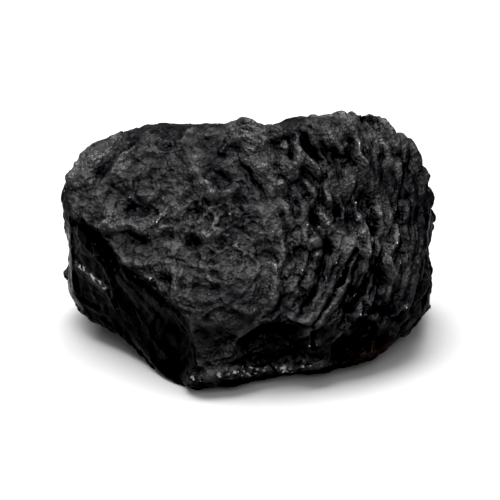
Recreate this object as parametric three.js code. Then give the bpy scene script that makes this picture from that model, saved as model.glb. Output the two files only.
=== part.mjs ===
// A tektite: a lump of black natural glass, thrown out as melt and frozen in flight, later chipped and
// then etched by ground water. It is one piece, with nothing fixed to it.
// Millimetres, +Z up. The stone's long way is X and its broad broken slope faces -Y. It lies on the flat
// of its underside, and the origin is on that surface, under the middle of the stone.

import * as THREE from 'three';
import { ImprovedNoise } from 'three/addons/math/ImprovedNoise.js';
import { mergeVertices } from 'three/addons/utils/BufferGeometryUtils.js';

// Driving dimensions: the box that the stone fits in.
const LENGTH = 38;
const DEPTH = 29;
const HEIGHT = 22.8;

// The core is a point inside the stone that every part of the skin can be seen from. It and the places
// below are laid out with y from the foremost point of the underside and z from the surface it lies on,
// and the whole is brought to the driving dimensions at the end.
const CORE = new THREE.Vector3(0.5, 11.5, 10.5);

// How closely the skin follows its flat faces: low for a pebble, high for a fresh sharp-edged chip.
const EDGE_SHARPNESS = 20;

// The broken and melted faces: the way each one faces, and a point that it passes through.
// turn: degrees round from the front, + to the right. tilt: degrees above level, - for an overhang.
const FACES = {
  // the broad slope that faces up and forward
  slopeLeft: { turn: -18, tilt: 53, through: [-8.7, 1.3, 9.6] },
  slopeRight: { turn: 11, tilt: 49, through: [1.0, -1.5, 8.3] },
  slopeFarRight: { turn: 35, tilt: 39, through: [12.2, 2.2, 7] },
  // the low front, under the ridge where the slope ends
  frontLeft: { turn: -46, tilt: -8, through: [-10, 2.2, 9.9] },
  frontMiddle: { turn: 10, tilt: -27, through: [0.5, -1.7, 7] },
  frontRight: { turn: 36, tilt: -28, through: [11.6, 1.7, 5.4] },
  frontRightFoot: { turn: 62, tilt: -40, through: [16.6, 6.6, 2.8] },
  // the two ends
  rightEnd: { turn: 84, tilt: 0, through: [18.9, 14, 12] },
  rightShoulder: { turn: 72, tilt: 46, through: [18.3, 19.5, 19.3] },
  leftEnd: { turn: -86, tilt: 1, through: [-19.4, 14, 12] },
  leftShoulder: { turn: -80, tilt: 46, through: [-18.6, 19, 19] },
  leftUndercut: { turn: -62, tilt: -44, through: [-15, 8, 2] },
  // the crest and the back
  crest: { turn: -150, tilt: 78, through: [8, 19, 22.6] },
  backTop: { turn: 172, tilt: 34, through: [0, 24, 19] },
  backMiddle: { turn: -176, tilt: -12, through: [0, 26.8, 9] },
  backRight: { turn: 128, tilt: 8, through: [15.5, 23, 12] },
  backLeft: { turn: -128, tilt: 10, through: [-15.4, 23.4, 12] },
  backUndercut: { turn: 178, tilt: -50, through: [0, 23, 2.8] },
  // the underside, where it rises from the flat
  undersideRight: { turn: 80, tilt: -76, through: [11, 9, 0.1] },
  undersideLeft: { turn: -88, tilt: -72, through: [-9.5, 9, 0.1] },
  undersideBack: { turn: 176, tilt: -70, through: [0, 20, 0.1] },
};

// The flat of the underside. It eases into the skin round it over the height given here.
const FLAT_EASE = 0.25;
const FLAT_SHARPNESS = 34;

// Hollows (depth below zero) and swellings: the middle, how far they reach and how deep they go.
const RELIEF = {
  scarFront: { at: [0.5, 0, 4.4], reach: [5.6, 3.5, 2.9], depth: -1.7 },
  scarLeft: { at: [-13, 4.4, 6.2], reach: [5.4, 4.4, 3.2], depth: -0.6 },
  lipUnderScar: { at: [-1.5, 1.2, 0.9], reach: [6, 2, 1], depth: 0.5 },
  footLeft: { at: [-9.4, 2.2, 0.6], reach: [5, 3, 2.6], depth: 1.1 },
  footRight: { at: [13.4, 4.4, 1.4], reach: [3.4, 3, 2.2], depth: 0.6 },
  nickBehindLeftFoot: { at: [-14.6, 7.4, 2.8], reach: [2, 2.6, 2.2], depth: -0.4 },
  hollowInSlope: { at: [-4, 7, 13.5], reach: [6, 5, 4], depth: -0.6 },
  swellOnSlope: { at: [9, 7, 13.5], reach: [4.5, 5, 4], depth: 0.5 },
  knobOnCrest: { at: [-0.4, 18, 22.5], reach: [1.5, 2.2, 2], depth: 0.4 },
  dipInCrest: { at: [3.2, 18, 22], reach: [1.6, 2.4, 2], depth: -0.5 },
  hollowBehindCrest: { at: [-3, 22, 21], reach: [6, 2.5, 3], depth: -0.7 },
  scarBackRight: { at: [8, 25, 13], reach: [6.5, 4, 5], depth: -2 },
  scarBackLeft: { at: [-9, 25, 8], reach: [5, 4, 4.5], depth: -1.4 },
  spurBetweenScars: { at: [-1.5, 26, 12], reach: [2.2, 3, 7], depth: 0.7 },
  hollowInRightEnd: { at: [19, 15, 8], reach: [3, 4, 3.4], depth: -0.9 },
  hollowInLeftEnd: { at: [-19, 17, 9], reach: [3, 4.2, 3.6], depth: -1.1 },
};

// The unevenness all over: how far apart the bumps are and how high.
const UNEVENNESS = {
  lumps: { spacing: 9, height: 0.55 },
  dents: { spacing: 4, height: 0.28 },
};

// Each edge of a twenty-sided ball is cut into this many steps and one more.
const SKIN_DETAIL = 18;
const WELD_DISTANCE = 1e-5;

// A face's outward direction, and how far it stands from the core.
function layFace({ turn, tilt, through }) {
  const round = THREE.MathUtils.degToRad(turn);
  const rise = THREE.MathUtils.degToRad(tilt);
  const outward = new THREE.Vector3(
    Math.sin(round) * Math.cos(rise),
    -Math.cos(round) * Math.cos(rise),
    Math.sin(rise),
  );
  const distance = outward.dot(new THREE.Vector3(...through).sub(CORE));
  return { outward, distance };
}

const faces = Object.values(FACES).map(layFace);

// How far the skin is from the core in one direction. The nearest face along the ray decides it, and
// the powers round the edge where two faces meet.
function skinDistance(direction) {
  let nearness = 0;
  for (const { outward, distance } of faces) {
    nearness += Math.max(0, outward.dot(direction) / distance) ** EDGE_SHARPNESS;
  }
  const skinNearness = nearness ** (1 / EDGE_SHARPNESS);
  const flatNearness = Math.max(0, -direction.z) / (CORE.z + FLAT_EASE);
  const both = skinNearness ** FLAT_SHARPNESS + flatNearness ** FLAT_SHARPNESS;
  return both ** (-1 / FLAT_SHARPNESS);
}

function reliefAt(point) {
  let height = 0;
  for (const { at, reach, depth } of Object.values(RELIEF)) {
    const x = (point.x - at[0]) / reach[0];
    const y = (point.y - at[1]) / reach[1];
    const z = (point.z - at[2]) / reach[2];
    height += depth * Math.exp(-(x * x + y * y + z * z));
  }
  return height;
}

const noise = new ImprovedNoise();

function unevennessAt(point) {
  let rise = 0;
  for (const { spacing, height } of Object.values(UNEVENNESS)) {
    rise += height * noise.noise(point.x / spacing, point.y / spacing, point.z / spacing + spacing);
  }
  return rise;
}

// Scales the skin to the driving dimensions, with the origin under its middle.
function bringToSize(skin) {
  skin.computeBoundingBox();
  const size = skin.boundingBox.getSize(new THREE.Vector3());
  const middle = skin.boundingBox.getCenter(new THREE.Vector3());
  skin.translate(-middle.x, -middle.y, 0);
  skin.scale(LENGTH / size.x, DEPTH / size.y, HEIGHT / size.z);
}

function makeSkin() {
  // A ball stretched to the stone's proportions spreads the triangles evenly over the skin.
  const ball = new THREE.IcosahedronGeometry(1, SKIN_DETAIL);
  ball.deleteAttribute('normal');
  ball.deleteAttribute('uv');
  const skin = mergeVertices(ball, WELD_DISTANCE);
  skin.scale(LENGTH, DEPTH, HEIGHT);

  const corners = skin.attributes.position;
  const direction = new THREE.Vector3();
  const point = new THREE.Vector3();
  for (let i = 0; i < corners.count; i += 1) {
    direction.fromBufferAttribute(corners, i).normalize();
    point.copy(CORE).addScaledVector(direction, skinDistance(direction));
    point.addScaledVector(direction, reliefAt(point) + unevennessAt(point));
    corners.setXYZ(i, point.x, point.y, Math.max(0, point.z));
  }
  bringToSize(skin);
  return skin;
}

const blackGlass = new THREE.MeshStandardMaterial({ color: 0x1b1b1d, roughness: 0.45, metalness: 0 });

const stone = new THREE.Mesh(makeSkin(), blackGlass);
stone.name = 'stone';

const tektite = new THREE.Group();
tektite.name = 'tektite';
tektite.add(stone);

export default tektite;
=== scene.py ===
import itertools
import math

import bmesh
import bpy
import numpy as np
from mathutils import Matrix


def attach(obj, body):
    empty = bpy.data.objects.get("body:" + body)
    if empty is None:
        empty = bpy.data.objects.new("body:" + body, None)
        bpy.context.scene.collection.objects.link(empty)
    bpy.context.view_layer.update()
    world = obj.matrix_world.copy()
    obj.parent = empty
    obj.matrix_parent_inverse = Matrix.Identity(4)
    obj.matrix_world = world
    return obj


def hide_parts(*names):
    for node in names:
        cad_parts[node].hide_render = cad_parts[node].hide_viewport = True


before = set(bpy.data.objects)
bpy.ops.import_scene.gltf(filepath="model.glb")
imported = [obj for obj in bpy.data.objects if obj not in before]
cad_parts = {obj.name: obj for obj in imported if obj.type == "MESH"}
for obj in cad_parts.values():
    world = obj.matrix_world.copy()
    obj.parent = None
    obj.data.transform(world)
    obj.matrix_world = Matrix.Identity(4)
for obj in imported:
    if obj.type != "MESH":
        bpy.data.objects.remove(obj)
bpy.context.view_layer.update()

# ---------------------------------------------------------------------------------------------------
# The stone: its body. A tektite is one drop of natural glass that froze in flight and was chipped
# later. The body is the frame's solid with its facets rounded off, fine enough to carry the skin.
# ---------------------------------------------------------------------------------------------------
WELD_DISTANCE = 1e-7
ROUNDING_LEVELS = 3

body_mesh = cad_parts["stone"].data.copy()
body_mesh.attributes.remove(body_mesh.attributes["custom_normal"])
welder = bmesh.new()
welder.from_mesh(body_mesh)
bmesh.ops.remove_doubles(welder, verts=welder.verts, dist=WELD_DISTANCE)
welder.to_mesh(body_mesh)
welder.free()

stone = bpy.data.objects.new("etched_stone", body_mesh)
bpy.context.scene.collection.objects.link(stone)


def settle(piece):
    """Makes a piece's modifiers part of its mesh."""
    evaluated = piece.evaluated_get(bpy.context.evaluated_depsgraph_get())
    finished = bpy.data.meshes.new_from_object(evaluated)
    piece.modifiers.clear()
    piece.data = finished


rounding = stone.modifiers.new("rounding", "SUBSURF")
rounding.levels = ROUNDING_LEVELS
settle(stone)

# ---------------------------------------------------------------------------------------------------
# The stone: its etched skin. Knocks took off flakes, and then ground water ate cups and flow grooves
# into the glass, which meet in sharp crests. Places, spacings and heights are in millimetres, and a
# seed picks one pattern out of many.
# ---------------------------------------------------------------------------------------------------
MM = 0.001


def read_skin(mesh):
    """The corners of a mesh in millimetres, and which way each one faces."""
    corners = np.empty(len(mesh.vertices) * 3, np.float32)
    facing = np.empty(len(mesh.vertices) * 3, np.float32)
    mesh.vertices.foreach_get("co", corners)
    mesh.vertex_normals.foreach_get("vector", facing)
    return corners.reshape(-1, 3).astype(float) / MM, facing.reshape(-1, 3).astype(float)


def shape_skin(mesh, corners):
    """Puts the corners of a mesh, given in millimetres, in their places."""
    mesh.vertices.foreach_set("co", (corners * MM).astype(np.float32).ravel())
    mesh.update()


def ramp(value, low, high):
    """From 0 at low to 1 at high, easing in and out."""
    t = np.clip((value - low) / (high - low), 0, 1)
    return t * t * (3 - 2 * t)


def lattice_random(cell, seed):
    """Three numbers from 0 to 1 for each whole-number cell, mixed from its own numbers and the seed, so
    that they are the same on every run."""
    x_factor, y_factor, z_factor, seed_factor = 73856093, 19349663, 83492791, 2654435761
    first_stir, second_stir = 0x45D9F3B, 0x2C1B3C6D
    greatest = 0xFFFFFFFF
    whole = cell.astype(np.int64)
    mixed = whole[:, 0] * x_factor ^ whole[:, 1] * y_factor ^ whole[:, 2] * z_factor
    mixed = (mixed ^ (seed * seed_factor)) & greatest
    numbers = []
    for _ in range(3):
        mixed = ((mixed ^ (mixed >> 16)) * first_stir) & greatest
        mixed = ((mixed ^ (mixed >> 15)) * second_stir) & greatest
        mixed = mixed ^ (mixed >> 16)
        numbers.append(mixed / greatest)
    return np.stack(numbers, axis=1)


def drift(place, spacing, seed):
    """Smooth noise from about -1 to 1, with its bumps a spacing apart."""
    to_full_range = 1.7
    scaled = place / spacing
    base = np.floor(scaled)
    part = scaled - base
    ease = part * part * part * (part * (part * 6 - 15) + 10)
    total = np.zeros(len(place))
    for corner in itertools.product((0, 1), repeat=3):
        corner = np.array(corner)
        slope = lattice_random(base + corner, seed) * 2 - 1
        weight = np.prod(np.where(corner == 1, ease, 1 - ease), axis=1)
        total += weight * ((part - corner) * slope).sum(axis=1)
    return total * to_full_range


def knock_off(corners, at, turn, tilt, reach, depth, most=np.inf, ragged=0.0):
    """Takes a shallow round flake off the skin, and says how far each corner went in: never further
    than the most that may go there, and unevenly where the flake is ragged."""
    turn, tilt = math.radians(turn), math.radians(tilt)
    outward = np.array([math.sin(turn) * math.cos(tilt), -math.cos(turn) * math.cos(tilt), math.sin(tilt)])
    start = corners[np.argmin(((corners - np.array(at)) ** 2).sum(axis=1))]
    radius = (reach * reach + depth * depth) / (2 * depth)
    gap = corners - (start + outward * (radius - depth))
    away = np.sqrt((gap * gap).sum(axis=1))
    cut = np.clip(radius - away + ragged * drift(corners, spacing=1.6, seed=111), 0, most)
    return corners + gap * (cut / away)[:, None], cut


# Old flakes, knocked off before the skin was etched: where, the way the scar faces (turn: degrees round
# from the front, + to the right; tilt: degrees above level), how far it reaches and how deep it goes.
OLD_FLAKES = [
    # the right end
    ((18.2, -4.0, 3.0), 74, -34, 4.2, 0.5),
    ((18.4, 9.0, 13.0), 112, 14, 4.6, 0.7),
    # the back
    ((13.0, 12.4, 9.0), 140, -10, 5.2, 1.0),
    ((3.0, 14.0, 14.0), 172, 16, 5.6, 0.9),
    ((-6.0, 13.6, 6.0), -168, -26, 4.8, 0.9),
    ((-14.6, 11.0, 13.0), -138, 14, 4.6, 0.8),
    ((6.0, 10.0, 20.0), 165, 52, 4.0, 0.5),
    # the left end
    ((-18.6, 6.0, 11.0), -108, 6, 4.2, 0.7),
    ((-17.4, 3.0, 4.0), -96, -32, 3.6, 0.6),
]

skin, _ = read_skin(stone.data)
for at, turn, tilt, reach, depth in OLD_FLAKES:
    skin, _ = knock_off(skin, at, turn, tilt, reach, depth)
shape_skin(stone.data, skin)
skin, facing = read_skin(stone.data)
relief = np.zeros(len(skin))

# The skin as it is laid out from the front, looking down at the stone's broad slope: across to the
# right, up, and away.
VIEW_RISE = math.radians(24)


def up_from_front(places):
    """How far up each place is, as seen from the front."""
    return places[:, 1] * math.sin(VIEW_RISE) + places[:, 2] * math.cos(VIEW_RISE)


def facing_front(directions):
    """1 where the skin faces the front squarely, 0 where it is seen edge on."""
    return directions[:, 2] * math.sin(VIEW_RISE) - directions[:, 1] * math.cos(VIEW_RISE)


across = skin[:, 0]
up_view = up_from_front(skin)
into_view = skin[:, 1] * math.cos(VIEW_RISE) - skin[:, 2] * math.sin(VIEW_RISE)


def patchy(place, mean, *layers, least, most):
    """A level that changes over the skin, within limits. Each layer adds a swing, at a spacing, with a
    seed."""
    level = np.full(len(place), mean)
    for swing, spacing, seed in layers:
        level += swing * drift(place, spacing, seed)
    return np.clip(level, least, most)


# Where the skin differs: the right half is fluted, from a line that leans to the right on its way down,
# but not where it overhangs. All over, the skin changes slowly from calmer to rougher.
FLUTES_START = (-1.1, 21.2)
FLUTES_LEAN = 0.4
CALM_IN_FLUTES = 0.45
past_flutes_start = across - (FLUTES_START[0] + (FLUTES_START[1] - up_view) * FLUTES_LEAN)
fluted = ramp(past_flutes_start, -1.5, 2.5) * ramp(facing[:, 2], -0.45, 0.05)
rough = patchy(skin, 0.85, (0.8, 7, 61), least=0.4, most=1.3)
rough_unfluted = rough * (1 - CALM_IN_FLUTES * fluted)


def read_edges(mesh):
    """Both ends of every edge of a mesh, each way round, and how many edges meet at each corner."""
    ends = np.empty(len(mesh.edges) * 2, np.int32)
    mesh.edges.foreach_get("vertices", ends)
    ends = ends.reshape(-1, 2)
    ends = np.concatenate([ends, ends[:, ::-1]])
    return ends[:, 0], ends[:, 1], np.bincount(ends[:, 0], minlength=len(mesh.vertices))


def standing_out(mesh, smoothings):
    """How sharply each corner stands out from its neighbours: above 0 on crests, below 0 in hollows."""
    shortest_edge_squared = 0.003
    corners, facing = read_skin(mesh)
    here, there, meeting = read_edges(mesh)
    away = corners[here] - corners[there]
    bend = (away * facing[here]).sum(axis=1) / ((away * away).sum(axis=1) + shortest_edge_squared)
    sharp = np.bincount(here, bend, len(corners)) / meeting
    for _ in range(smoothings):
        sharp = 0.5 * sharp + 0.5 * np.bincount(here, sharp[there], len(corners)) / meeting
    return sharp


def wander(place, spacing, reach, seed):
    """Moves places about, so that what is laid out on them bends."""
    return place + reach * np.stack([drift(place, spacing, seed + k) for k in range(3)], axis=1)


def scatter(place, seed):
    """Among centres scattered one to a cell: how far the nearest is and the one after it, the way from
    the nearest, and its own random numbers."""
    further_than_any = 9.0
    base = np.floor(place)
    near = np.full(len(place), further_than_any)
    second = np.full(len(place), further_than_any)
    toward = np.zeros_like(place)
    own = np.zeros_like(place)
    for step in itertools.product((-1, 0, 1), repeat=3):
        cell = base + step
        numbers = lattice_random(cell, seed)
        gap = place - cell - numbers
        away = (gap * gap).sum(axis=1)
        closer = away < near
        second = np.where(closer, near, np.minimum(second, away))
        near = np.where(closer, away, near)
        toward = np.where(closer[:, None], gap, toward)
        own = np.where(closer[:, None], numbers, own)
    return np.sqrt(near), np.sqrt(second), toward, own


def cups(place, spacing, depth, seed, chipped=0.0):
    """Shallow cups that meet in crests; chipped tilts and steps each one like a broken flake."""
    rim_height, mean_height = 0.85, 0.35
    near, _, toward, own = scatter(place / spacing, seed)
    hollow = np.minimum(near * near, rim_height) - mean_height
    tilt = (toward * (own - 0.5)).sum(axis=1) * 2
    step = (own[:, 1] - 0.5) * 0.5
    return depth * (hollow + chipped * (tilt + step))


def crests(place, spacing, height, seed):
    """Sharp crests that wind about, with rounded hollows between them."""
    mean_height, steepness = 0.45, 1.6
    return height * (mean_height - np.abs(drift(place, spacing, seed)) * steepness)


# Cups and crests of every size. The edges between the broken faces are sharpened first.
EDGE_RISE = 0.35
relief += EDGE_RISE * ramp(standing_out(stone.data, smoothings=8), 0.10, 0.35)
bent = wander(skin, spacing=6, reach=1.5, seed=11)
relief += cups(bent, spacing=5.5, depth=0.34, seed=12, chipped=0.3)
bent = wander(skin, spacing=3, reach=0.9, seed=21)
relief += cups(bent, spacing=2.4, depth=0.16, seed=22, chipped=0.6) * rough_unfluted
bent = wander(skin, spacing=2.4, reach=0.8, seed=31)
relief += crests(bent, spacing=2.0, height=0.16, seed=32) * rough_unfluted
bent = wander(skin, spacing=1.3, reach=0.4, seed=34)
relief += crests(bent, spacing=1.0, height=0.08, seed=35) * rough_unfluted
bent = wander(skin, spacing=1.5, reach=0.5, seed=104)
relief += cups(bent, spacing=1.5, depth=0.20, seed=105, chipped=0.7) * rough * (1 - fluted)
bent = wander(skin, spacing=1.0, reach=0.3, seed=24)
relief += cups(bent, spacing=0.8, depth=0.07, seed=25, chipped=0.6) * rough
bent = wander(skin, spacing=0.8, reach=0.2, seed=37)
relief += crests(bent, spacing=0.5, height=0.03, seed=38) * rough

# The flow layers of the melt wrap round one spot on the slope, the eye, like the coats of an onion, and
# dip into the stone. Where they come to the surface, the softer ones are etched into grooves. A place in
# the flow has three numbers: its layer, and two for its bearing from the eye.
EYE = (-5.5, 9.8)
EYE_RADIUS = 0.5
SLOPE_LEAN = 0.56
LAYER_DIP = 0.6
LAYER_SPACING = 1.45
BREAKS_ROUND_EYE = 4.8
from_eye = np.stack([across - EYE[0], up_view - EYE[1]], axis=1)
out = np.hypot(from_eye[:, 0], from_eye[:, 1])
behind_slope = into_view - SLOPE_LEAN * up_view
layer = out + LAYER_DIP * behind_slope
bearing = from_eye / (out[:, None] + EYE_RADIUS) * BREAKS_ROUND_EYE
flow = np.stack([layer / LAYER_SPACING, bearing[:, 0], bearing[:, 1]], axis=1)


def ribs(place, slit_width, depth, seed):
    """Rounded ribs of uneven height, with a narrow slit between each two."""
    crown_height, mean_height, height_range = 1.2, 0.35, 0.5
    slit_depth, least_slit = 0.6, 0.3
    near, second, _, own = scatter(place, seed)
    crown = crown_height * (mean_height - near * near)
    slit = slit_depth * (least_slit + own[:, 0]) * np.exp(-(((second - near) / slit_width) ** 2))
    return depth * (crown + height_range * (own[:, 1] - 0.5) - slit)


def line_gap(points, seen_from_front):
    """How far each place is from a line of points, as seen from the front."""
    further_than_any = 99.0
    x, v = seen_from_front
    gap = np.full(len(x), further_than_any)
    for (x0, v0), (x1, v1) in zip(points, points[1:]):
        run, rise = x1 - x0, v1 - v0
        t = np.clip(((x - x0) * run + (v - v0) * rise) / (run * run + rise * rise), 0, 1)
        gap = np.minimum(gap, np.hypot(x - x0 - t * run, v - v0 - t * rise))
    return gap


def beside(gap, half_width, sharpness=2):
    """1 on a line, fading to nothing at about twice the half width."""
    return np.exp(-((gap / half_width) ** sharpness))


# The grooves are deep in the fluted half, where they come and go, and faint outside it, at the eye and
# along the crack.
CRACK = [(11.0, 9.1), (10.0, 7.3), (9.3, 5.8), (7.7, 2.8), (6.5, 1.1), (6.7, -0.7)]
GROOVED_ALL_OVER = 0.22
strength = patchy(skin, 0.8, (0.6, 5, 71), (0.7, 2.2, 72), least=0.1, most=1.4) * ramp(out, 1.5, 4)
beside_crack = beside(line_gap(CRACK, (across, up_view)), half_width=1.2)
grooved = (GROOVED_ALL_OVER + (1 - GROOVED_ALL_OVER) * fluted) * strength * (1 - 0.75 * beside_crack)

FLOW_BEND = 1.5
bent = wander(flow, FLOW_BEND, reach=0.22, seed=41)
relief += ribs(bent, slit_width=0.36, depth=0.85, seed=42) * grooved
bent = wander(flow * 0.6, FLOW_BEND, reach=0.30, seed=44)
relief += cups(bent, spacing=1, depth=0.38, seed=45, chipped=0.6) * grooved
bent = wander(flow * 1.6, FLOW_BEND, reach=0.30, seed=51)
relief += cups(bent, spacing=1, depth=0.24, seed=52, chipped=1.3) * grooved

# Fine bands in the glass along the flow, some harder than others.
BANDS_TO_A_LAYER = 2.4
BAND_HEIGHT = 0.10
bent = wander(flow, FLOW_BEND, reach=0.25, seed=54)
bent[:, 0] *= BANDS_TO_A_LAYER
bands = drift(bent, spacing=1.0, seed=57) * ramp(out, 0.5, 3.0)
relief += BAND_HEIGHT * bands * rough


def pits(place, spacing, share, radius, depth, seed):
    """Round pits, each with a sharp rim, at a share of the scattered places."""
    least_size, size_range = 0.6, 0.8
    steep, shallow = 0.6, 0.4
    near, _, _, own = scatter(place / spacing, seed)
    size = radius * (least_size + size_range * own[:, 2])
    inside = np.clip(1 - (near * spacing / size) ** 2, 0, 1)
    return -depth * np.where(own[:, 1] < share, steep * np.sqrt(inside) + shallow * inside, 0)


# Bubbles in the melt, cut open.
relief += pits(skin, spacing=3.4, share=0.18, radius=0.6, depth=0.22, seed=83) * rough_unfluted
relief += pits(skin, spacing=2.0, share=0.25, radius=0.40, depth=0.18, seed=81) * rough
relief += pits(skin, spacing=1.1, share=0.25, radius=0.22, depth=0.10, seed=82) * rough

# ---------------------------------------------------------------------------------------------------
# The stone: its own marks. The crests, slits, pits and lips that tell this stone from another, each
# along a line of points (across, up) as seen from the front, with a half width and a height.
# ---------------------------------------------------------------------------------------------------
MARKS = [
    # left edge of the crest
    ([(-17.7, 16.6), (-16.0, 17.4), (-14.4, 18.9), (-13.2, 20.1)], 0.75, 0.62),
    ([(-15.3, 16.9), (-13.3, 18.6), (-11.9, 20.3)], 0.40, -0.65),
    ([(-13.6, 17.3), (-11.6, 19.2)], 0.45, 0.60),
    ([(-17.2, 11.9), (-15.7, 11.2), (-13.7, 12.0)], 0.50, 0.60),
    ([(-17.8, 15.5), (-15.7, 16.3)], 0.35, 0.30),
    # the pits and lips left of the eye, and the eye
    ([(-11.6, 12.9), (-9.5, 13.4)], 0.70, -0.32),
    ([(-12.8, 11.5), (-10.9, 10.9), (-9.0, 11.9), (-8.1, 13.2)], 0.55, 0.75),
    ([(-12.2, 10.4), (-10.2, 9.8), (-8.1, 11.0)], 0.50, -0.34),
    ([(-6.0, 9.6), (-5.0, 10.1)], 0.55, -0.65),
    ([(-4.3, 10.3), (-3.2, 11.3)], 0.70, 0.75),
    # the swell and the long ridge above it
    ([(-5.3, 16.7), (-2.9, 14.6)], 0.70, 0.75),
    ([(-0.3, 19.5), (1.3, 17.0), (3.0, 15.0)], 0.80, 0.85),
    ([(-1.3, 18.8), (0.2, 16.4), (1.8, 14.6)], 0.40, -0.50),
    ([(-1.1, 21.2), (0.9, 19.5)], 0.50, 0.55),
    ([(-3.9, 13.4), (-1.5, 13.7), (0.9, 13.4)], 0.30, 0.30),
    # low on the left
    ([(-9.8, 5.2), (-8.4, 6.3)], 0.60, -0.42),
    ([(-7.7, 7.3), (-7.0, 6.3), (-7.0, 4.9)], 0.45, 0.60),
    ([(-6.7, 5.6), (-3.9, 5.2)], 0.35, -0.30),
    ([(2.7, 7.3), (2.7, 4.5)], 0.60, 0.70),
    # slits and ribs under the right crest
    ([(3.9, 20.3), (4.5, 18.4)], 0.28, -0.75),
    ([(5.5, 20.4), (7.5, 18.1)], 0.32, -0.85),
    ([(7.5, 20.3), (8.2, 18.6)], 0.28, -0.60),
    ([(4.7, 20.0), (5.6, 17.8)], 0.40, 0.65),
    ([(6.0, 18.2), (7.2, 16.8)], 0.60, 0.70),
    ([(6.4, 21.6), (7.8, 20.2)], 0.50, 0.75),
    ([(11.1, 19.9), (11.8, 17.7)], 0.40, 0.80),
    ([(10.5, 20.0), (11.0, 18.2)], 0.28, -0.45),
    ([(11.8, 20.2), (12.5, 17.8)], 0.28, -0.45),
    ([(13.9, 19.6), (14.4, 17.6)], 0.30, -0.55),
    ([(16.2, 17.5), (16.3, 14.6)], 0.32, -0.55),
    ([(15.3, 17.6), (15.9, 16.3)], 0.45, 0.35),
    # slits and lips down the right side
    ([(10.9, 14.2), (12.5, 11.4)], 0.28, -0.60),
    ([(7.3, 11.4), (8.5, 9.3)], 0.30, -0.50),
    ([(8.2, 15.4), (7.6, 13.2), (8.6, 11.3), (10.7, 10.4), (12.0, 11.2), (12.0, 12.8)], 0.45, 0.45),
    ([(9.2, 13.4), (10.6, 12.2)], 0.80, -0.32),
    ([(4.9, 15.0), (5.1, 12.5)], 0.32, -0.38),
    ([(6.7, 13.9), (6.8, 11.8)], 0.30, -0.38),
    ([(12.0, 15.0), (12.7, 10.8)], 0.32, -0.50),
    ([(12.2, 9.8), (12.0, 7.3)], 0.55, 0.70),
    ([(14.1, 9.1), (14.5, 7.0)], 0.55, 0.65),
    ([(12.9, 9.4), (13.6, 5.6)], 0.40, -0.60),
    # holes beside the crack
    ([(10.7, 5.1), (11.3, 5.1)], 0.40, -0.50),
    ([(13.4, 3.5), (15.2, 2.5)], 0.50, -0.50),
]

# A mark with a sharpness of 2 would have a round top, and with 1 a knife edge. It is worn down in
# places. Its painted light spreads wider than the mark: a painted highlight on a raised mark, and
# painted shade in a sunk one.
MARK_SHARPNESS = 1.3
MARK_LIGHT_SPREAD = 1.4
bent = wander(np.stack([across, up_view, into_view], axis=1), spacing=1.6, reach=0.45, seed=91)
wear = patchy(skin, 1.0, (0.9, 1.5, 95), least=0.25, most=1.8)
in_sight = ramp(facing_front(facing), 0.05, 0.3)
mark_light_and_shade = np.zeros(len(skin))
for points, half_width, height in MARKS:
    gap = line_gap(points, (bent[:, 0], bent[:, 1]))
    relief += height * wear * beside(gap, half_width * wear, MARK_SHARPNESS) * in_sight
    # Painted highlight along raised marks and painted shade along sunk ones, for the skin's colour.
    mark_light_and_shade += height * wear * beside(gap, MARK_LIGHT_SPREAD * half_width) * in_sight

skin = skin + facing * relief[:, None]
shape_skin(stone.data, skin)

# ---------------------------------------------------------------------------------------------------
# The stone: its fresh breaks. Knocks since then took flakes off the front and cut through the etched
# skin. They are smooth and black, and the glass is crushed to grey crumbs where a blow fell.
# ---------------------------------------------------------------------------------------------------
# Where, turn, tilt, reach and depth as for the old flakes, how dull the break is (0 for clean black
# glass, 1 as the skin, more where light is painted in), and how ragged its outline is.
FRESH_FLAKES = [
    # the face at the left front, with four more flakes on it
    ((-12.4, -7.2, 5.2), -46, -8, 11.0, 0.5, 0.0, 0.04),
    ((-15.2, -4.9, 9.8), -51, 2, 4.6, 0.6, 0.0, 0.15),
    ((-17.4, -2.6, 7.2), -72, -4, 3.8, 0.35, 0.0, 0.15),
    ((-15.5, -4.2, 7.0), -58, -4, 3.2, 0.7, 0.0, 0.08),
    ((-9.0, -10.6, 4.6), -38, -4, 3.0, 0.7, 0.0, 0.08),
    # the scoop under the slope, with painted light in it where the slope above shades it, and the hollows
    # to the right of it
    # Painted light: a dullness of 1.8 makes the shaded scoop lighter.
    ((-2.9, -14.2, 6.0), -4, 12, 4.2, 1.0, 1.8, 0.35),
    ((1.1, -12.9, 5.4), 4, -10, 1.8, 0.5, 0.90, 0.70),
    ((4.1, -12.5, 6.5), 8, -6, 1.6, 0.5, 0.70, 0.70),
    ((10.4, -11.3, 4.8), 32, -20, 3.2, 0.6, 0.30, 0.60),
    ((12.9, -10.4, 3.4), 40, -28, 2.0, 0.4, 0.10, 0.40),
]

# The lower front stands forward as a lip under the scoop: how far, at places from left to right.
LIP_ACROSS = (-7.2, -5.2, -1.2, 0.6, 4.0, 6.4, 9.0, 13.0)
LIP_FORWARD = (0.0, 1.7, 1.7, 0.8, 0.6, 1.2, 0.4, 0.0)
LIP_TOP = 7.0
on_lip = ramp(LIP_TOP - skin[:, 2], 0.0, 3.5) * ramp(skin[:, 2], 0.0, 1.2) * ramp(-skin[:, 1], 6.0, 9.0)
skin[:, 1] -= np.interp(skin[:, 0], LIP_ACROSS, LIP_FORWARD) * on_lip

# A fresh break goes in no further than its own depth under the unetched surface.
skin_dullness = np.ones(len(skin))
for at, turn, tilt, reach, depth, dullness, ragged in FRESH_FLAKES:
    most = np.maximum(relief + depth, 0)
    skin, cut = knock_off(skin, at, turn, tilt, reach, depth, most, ragged)
    relief -= cut
    rim_depth = 0.08 + 0.5 * ragged
    share = ramp(cut, 0, rim_depth)
    skin_dullness = skin_dullness * (1 - share) + dullness * share
fresh = np.clip(1 - skin_dullness, 0, 1)
shape_skin(stone.data, skin)
skin, facing = read_skin(stone.data)

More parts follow.
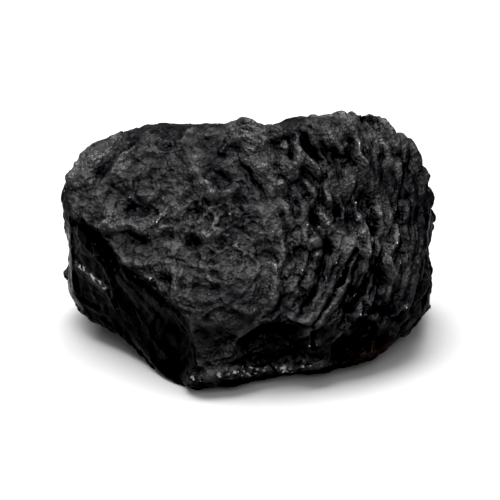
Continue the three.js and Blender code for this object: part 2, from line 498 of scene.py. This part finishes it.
# Faint ripples that ring the place of a blow, rough streaks that run out from it, and slow waves.
BLOW = np.array([-17.0, -4.0, 13.0])
RIPPLE_SPACING = 0.9
RIPPLE_HEIGHT = 0.02
STREAKS_ROUND_BLOW = 11
STREAK_HEIGHT = 0.05
from_blow = wander(skin, spacing=3.0, reach=0.6, seed=97) - BLOW
blow_distance = np.sqrt((from_blow ** 2).sum(axis=1))
relief = RIPPLE_HEIGHT * np.sin(2 * math.pi * blow_distance / RIPPLE_SPACING) * fresh
bearing = from_blow / blow_distance[:, None] * STREAKS_ROUND_BLOW
streaks = ramp(drift(bearing, spacing=1.0, seed=58), 0.05, 0.6)
streaks = streaks * ramp(drift(skin, spacing=2.5, seed=59), -0.3, 0.5) * fresh
waves = 0.12 * drift(skin, spacing=3.0, seed=98) + 0.07 * drift(skin, spacing=0.9, seed=99)
relief += STREAK_HEIGHT * streaks + waves * fresh

# The crack at the lower right.
CRACK_DEPTH = 0.9
CRACK_HALF_WIDTH = 0.19
bent = wander(skin, spacing=1.2, reach=0.25, seed=101)
seen = (bent[:, 0], up_from_front(bent))
toward_view = facing_front(facing)
in_sight = ramp(toward_view, 0.0, 0.3)
relief -= CRACK_DEPTH * beside(line_gap(CRACK, seen), CRACK_HALF_WIDTH) * in_sight

# The crushed edge low in the front, which is fainter at its right end, and the chip on the left face.
CRUSHED_EDGE = [(-5.6, -3.9), (-2.5, -3.2), (0.2, -2.9), (3.4, -2.6), (6.6, -2.2), (12.0, -1.2)]
CRUSHED_EDGE_HEIGHT = 0.8
CRUSHED_CHIP = [(-17.3, 7.7), (-16.1, 6.6), (-14.3, 5.2)]
CRUSHED_CHIP_HEIGHT = 0.25
CHIP_WHITENESS = 1.3
edge_gap = line_gap(CRUSHED_EDGE, seen)
crushed = beside(edge_gap, half_width=0.9) * (1 - 0.75 * ramp(skin[:, 0], 6.0, 9.0))
crumbled = cups(skin, spacing=0.7, depth=0.18, seed=103, chipped=1.0) * crushed
relief += (CRUSHED_EDGE_HEIGHT * beside(edge_gap, half_width=0.6) + crumbled) * in_sight
chip = beside(line_gap(CRUSHED_CHIP, seen), half_width=0.38) * in_sight
relief += CRUSHED_CHIP_HEIGHT * chip
crushed = np.maximum(crushed * in_sight, CHIP_WHITENESS * chip)

skin = skin + facing * relief[:, None]
skin[:, 2] = np.maximum(skin[:, 2], 0)
shape_skin(stone.data, skin)


def note_on_skin(mesh, name, values):
    """Keeps a number for each corner of a mesh, for its material to read."""
    mesh.attributes.new(name, "FLOAT", "POINT").data.foreach_set("value", values.astype(np.float32))


# How dull the skin is, with painted light and shade mixed in: less on fresh breaks, save for their
# streaks, more on the harder bands and all over in patches. Painted shade makes it darker on the
# underside and at the right end, painted light makes it lighter on the flutes, and the marks carry a
# painted highlight where raised and painted shade where sunk.
dull_and_painted_light = skin_dullness + 0.8 * streaks
# Painted shade: darker where the skin faces down.
dull_and_painted_light *= 0.55 + 0.45 * ramp(facing[:, 2], -0.5, 0.2)
# Painted shade: darker at the right end.
dull_and_painted_light *= 1 - 0.5 * ramp(skin[:, 0], 14.5, 18.0)
dull_and_painted_light *= 1 + 0.45 * bands
# Painted light: lighter on the fluted right half.
dull_and_painted_light *= 1 + 0.3 * fluted
# Painted highlight on raised marks, painted shade in sunk ones.
dull_and_painted_light *= np.clip(1 + np.where(mark_light_and_shade > 0, 2.3, 1.3) * mark_light_and_shade, 0.45, 2.3)
dull_and_painted_light *= patchy(skin, 0.85, (0.5, 6, 62), (0.4, 2.4, 63), least=0.3, most=1.3)
note_on_skin(stone.data, "dull_and_painted_light", dull_and_painted_light)
note_on_skin(stone.data, "crushed", crushed)

# Where the glass runs thin at the foot of the right front, and light gets into it.
THIN_EDGE = [(11.0, -1.9), (14.5, -0.6)]
thin = beside(line_gap(THIN_EDGE, seen), half_width=0.5) * ramp(toward_view, -0.3, 0.1)
note_on_skin(stone.data, "thin", thin)

# The mesh is thinned out where the skin is smooth.
MOST_TRIANGLES = 190000
stone.modifiers.new("triangles", "TRIANGULATE")
thinning = stone.modifiers.new("thinning", "DECIMATE")
thinning.ratio = MOST_TRIANGLES / (2 * len(stone.data.polygons))
settle(stone)

for polygon in stone.data.polygons:
    polygon.use_smooth = True


def rub_down(mesh, low, high, times):
    """Wears away the corners that stand out most, such as thin fins and thorns."""
    for _ in range(times):
        corners, _ = read_skin(mesh)
        here, there, meeting = read_edges(mesh)
        share = 0.8 * ramp(standing_out(mesh, smoothings=1), low, high)
        middle = np.stack([np.bincount(here, corners[there, k], len(corners)) for k in range(3)], axis=1)
        middle /= meeting[:, None]
        shape_skin(mesh, corners + (middle - corners) * share[:, None])


rub_down(stone.data, low=0.8, high=1.8, times=3)
skin, _ = read_skin(stone.data)
skin[:, 2] = np.maximum(skin[:, 2], 0)
shape_skin(stone.data, skin)

# Where crests are sharp, for their wear and a painted highlight on them, and how far the skin is
# raised over what lies near it (5 smoothings), further off (22) and far round it (70), each with its
# weight, for painted light on rises and painted shade in hollows.
RAISED_OVER = ((5, 0.30), (22, 0.4), (70, 0.30))
MOST_RAISED = 1.6
MOST_SUNK = -3
# Worn crests: partly real wear, partly a painted highlight along the crests.
note_on_skin(stone.data, "worn_with_painted_highlight", ramp(standing_out(stone.data, smoothings=2), 0.3, 0.95))
raised_light_and_shade = np.zeros(len(stone.data.vertices))
for smoothings, weight in RAISED_OVER:
    bend = standing_out(stone.data, smoothings)
    raised_light_and_shade += weight * bend / bend.std()
raised_light_and_shade = np.clip(raised_light_and_shade, MOST_SUNK, MOST_RAISED)
# Painted light and shade: lighter where the skin is raised, darker in hollows.
note_on_skin(stone.data, "raised_light_and_shade", 0.48 + 0.22 * np.exp(0.9 * raised_light_and_shade))

# ---------------------------------------------------------------------------------------------------
# The stone: its glass. Black all through, matt and satin where it is etched, and smooth on the fresh
# breaks. Grey crumbs lie in the crushed edge, and a thin edge is brown. Its colour carries painted
# light: it is paler on raised parts and worn crests, with painted glints, and darker in hollows, on the
# underside and at the right end, as painted shade.
# ---------------------------------------------------------------------------------------------------
glass = bpy.data.materials.new("black_natural_glass")
glass.use_nodes = True
nodes, links = glass.node_tree.nodes, glass.node_tree.links
surface = nodes["Principled BSDF"]
surface.inputs["Specular IOR Level"].default_value = 0.014
surface.inputs["Coat Roughness"].default_value = 0.38


def set_socket(socket, value):
    """Links another node's output to a socket, or sets it to a plain value."""
    if isinstance(value, bpy.types.NodeSocket):
        links.new(value, socket)
    else:
        socket.default_value = value


def new_node(kind, **settings):
    """A shader node with its sockets set by name."""
    node = nodes.new(kind)
    for name, value in settings.items():
        set_socket(node.inputs[name.replace("_", " ")], value)
    return node


def skin_note(name):
    """A number that was kept for each corner of the mesh."""
    node = nodes.new("ShaderNodeAttribute")
    node.attribute_name = name
    return node.outputs["Fac"]


def math_node(operation, first, second):
    """A sum, product, greatest or least of two values."""
    node = nodes.new("ShaderNodeMath")
    node.operation = operation
    set_socket(node.inputs[0], first)
    set_socket(node.inputs[1], second)
    return node.outputs[0]


def product(*factors):
    """All its factors multiplied together."""
    total = factors[0]
    for factor in factors[1:]:
        total = math_node("MULTIPLY", total, factor)
    return total


def lightest(*tones):
    """The greatest of its tones at each place."""
    total = tones[0]
    for tone in tones[1:]:
        total = math_node("MAXIMUM", total, tone)
    return total


place = nodes.new("ShaderNodeTexCoord").outputs["Object"]


def blotches(scale, detail, low, high, at_low=0.0, at_high=1.0):
    """Patches of noise, stretched from one level to another."""
    noise = new_node("ShaderNodeTexNoise", Vector=place, Scale=scale, Detail=detail).outputs["Fac"]
    levels = new_node("ShaderNodeMapRange", Value=noise, From_Min=low, From_Max=high)
    levels.inputs["To Min"].default_value = at_low
    levels.inputs["To Max"].default_value = at_high
    return levels.outputs["Result"]


# How light the glass is, from 0 to 1: its etched skin with painted light and shade, worn crests with a
# painted highlight, painted glints on them, crumbs and specks.
PALEST_ETCHED = 0.60
PALEST_WORN_HIGHLIGHT = 0.72
dust = blotches(scale=420.0, detail=6.0, low=0.36, high=0.64, at_low=0.18, at_high=0.56)
# Painted light and shade: the etched skin's tone follows the painted dullness and the rises.
etched_with_painted_light = math_node("MINIMUM", product(dust, skin_note("dull_and_painted_light"), skin_note("raised_light_and_shade")), PALEST_ETCHED)
# Worn crests: wear, and a painted highlight along them.
worn_with_painted_highlight = product(skin_note("worn_with_painted_highlight"), blotches(scale=1400.0, detail=4.0, low=0.38, high=0.62), PALEST_WORN_HIGHLIGHT)
# Painted glints on the sharpest crests.
painted_glints = product(skin_note("worn_with_painted_highlight"), blotches(scale=2600.0, detail=2.0, low=0.60, high=0.68))
grey_crumbs = blotches(scale=2000.0, detail=3.0, low=0.40, high=0.62, at_low=0.3, at_high=0.91)
white_crumbs = blotches(scale=1400.0, detail=2.0, low=0.60, high=0.66)
crumb_gaps = blotches(scale=500.0, detail=2.0, low=0.42, high=0.56, at_low=0.7, at_high=1.0)
crumbs = product(lightest(grey_crumbs, white_crumbs), skin_note("crushed"), crumb_gaps)
specks = blotches(scale=1500.0, detail=3.0, low=0.61, high=0.72, at_high=0.45)
tone = lightest(etched_with_painted_light, worn_with_painted_highlight, painted_glints, crumbs, specks)

TONES = [
    (0.0, (0.0005, 0.0005, 0.0007, 1)),
    (0.12, (0.0015, 0.0015, 0.0020, 1)),
    (0.30, (0.0034, 0.0034, 0.0037, 1)),
    (0.70, (0.0200, 0.0200, 0.0200, 1)),
    (1.0, (0.3200, 0.3200, 0.3120, 1)),
]
THIN_GLASS = (0.0075, 0.0042, 0.0028, 1)
tint = new_node("ShaderNodeValToRGB", Fac=tone)
while len(tint.color_ramp.elements) < len(TONES):
    tint.color_ramp.elements.new(0.5)
for element, (position, colour) in zip(tint.color_ramp.elements, TONES):
    element.position = position
    element.color = colour
browned = product(skin_note("thin"), 0.8)
brown = new_node("ShaderNodeMixRGB", Fac=browned, Color1=tint.outputs["Color"], Color2=THIN_GLASS)
links.new(brown.outputs["Color"], surface.inputs["Base Color"])

# Roughness, and the sheen of the etched skin.
SMOOTHEST = 0.17
etching = math_node("MINIMUM", product(skin_note("dull_and_painted_light"), 2.5), 1.0)
matt = blotches(scale=1400.0, detail=4.0, low=0.35, high=0.65, at_low=0.40, at_high=0.62)
links.new(math_node("MAXIMUM", product(etching, matt), SMOOTHEST), surface.inputs["Roughness"])
satin = blotches(scale=1100.0, detail=5.0, low=0.36, high=0.64, at_low=0.04, at_high=0.24)
links.new(product(skin_note("dull_and_painted_light"), skin_note("raised_light_and_shade"), satin), surface.inputs["Coat Weight"])

# The grain, too fine for the mesh, which is weak on the fresh breaks.
GRIT_DEPTH = 0.09 * MM
FINE_DEPTH = 0.07 * MM
bite = math_node("ADD", 0.12, skin_note("dull_and_painted_light"))
grit = new_node("ShaderNodeTexVoronoi", Vector=place, Scale=2600.0).outputs["Distance"]
fine = new_node("ShaderNodeTexNoise", Vector=place, Scale=4000.0, Detail=4.0).outputs["Fac"]
gritty = new_node("ShaderNodeBump", Distance=GRIT_DEPTH, Height=product(grit, bite))
grain = new_node("ShaderNodeBump", Distance=FINE_DEPTH, Height=product(fine, bite))
links.new(gritty.outputs["Normal"], grain.inputs["Normal"])
links.new(grain.outputs["Normal"], surface.inputs["Normal"])
links.new(grain.outputs["Normal"], surface.inputs["Coat Normal"])

stone.data.materials.clear()
stone.data.materials.append(glass)

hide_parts("stone")
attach(stone, "root")

# ---------------------------------------------------------------------------------------------------
# The table: a sheet of pale paper. It isn't part of the stone.
# ---------------------------------------------------------------------------------------------------
TABLE_SIDE = 6
bpy.ops.mesh.primitive_plane_add(size=TABLE_SIDE)
table = bpy.context.object
table.name = "table"
paper = bpy.data.materials.new("pale_paper")
paper.use_nodes = True
paper_surface = paper.node_tree.nodes["Principled BSDF"]
paper_surface.inputs["Base Color"].default_value = (0.30, 0.30, 0.30, 1)
paper_surface.inputs["Roughness"].default_value = 0.9
paper_surface.inputs["Specular IOR Level"].default_value = 0.1
table.data.materials.append(paper)

# ---------------------------------------------------------------------------------------------------
# The light and the camera: a softbox overhead, a little behind and to the left, a weaker one in
# front, and a long lens looking down at the stone.
# ---------------------------------------------------------------------------------------------------
room = bpy.data.worlds.new("room")
room.use_nodes = True
room_light = room.node_tree.nodes["Background"]
room_light.inputs["Color"].default_value = (1, 1, 1, 1)
room_light.inputs["Strength"].default_value = 0.30
bpy.context.scene.world = room


def softbox(name, place, width, height, energy):
    """A soft lamp that points at the stone."""
    lamp = bpy.data.lights.new(name, "AREA")
    lamp.shape = "RECTANGLE"
    lamp.size = width
    lamp.size_y = height
    lamp.energy = energy
    box = bpy.data.objects.new(name, lamp)
    bpy.context.scene.collection.objects.link(box)
    box.location = place
    box.rotation_euler = box.location.to_track_quat("Z", "Y").to_euler()


softbox("softbox_overhead", (-0.05, 0.07, 0.42), width=0.46, height=0.46, energy=9.6)
softbox("softbox_front", (0.05, -0.35, 0.30), width=0.40, height=0.30, energy=1.7)

AIM_ACROSS = 0.00024
AIM_HEIGHT = 0.0099
CAMERA_DISTANCE = 0.5
LENS_LENGTH = 353
FRAME_WIDTH = 36
lens = bpy.data.cameras.new("camera")
lens.lens = LENS_LENGTH
lens.sensor_width = FRAME_WIDTH
lens.clip_start = 0.01
camera = bpy.data.objects.new("camera", lens)
bpy.context.scene.collection.objects.link(camera)
camera.location = (
    AIM_ACROSS,
    -CAMERA_DISTANCE * math.cos(VIEW_RISE),
    AIM_HEIGHT + CAMERA_DISTANCE * math.sin(VIEW_RISE),
)
camera.rotation_euler = (math.pi / 2 - VIEW_RISE, 0, 0)
bpy.context.scene.camera = camera

BLACK_POINT = 0.005
film = bpy.context.scene.view_settings
film.view_transform = "Standard"
film.look = "None"
film.use_curve_mapping = True
film.curve_mapping.black_level = (BLACK_POINT, BLACK_POINT, BLACK_POINT)
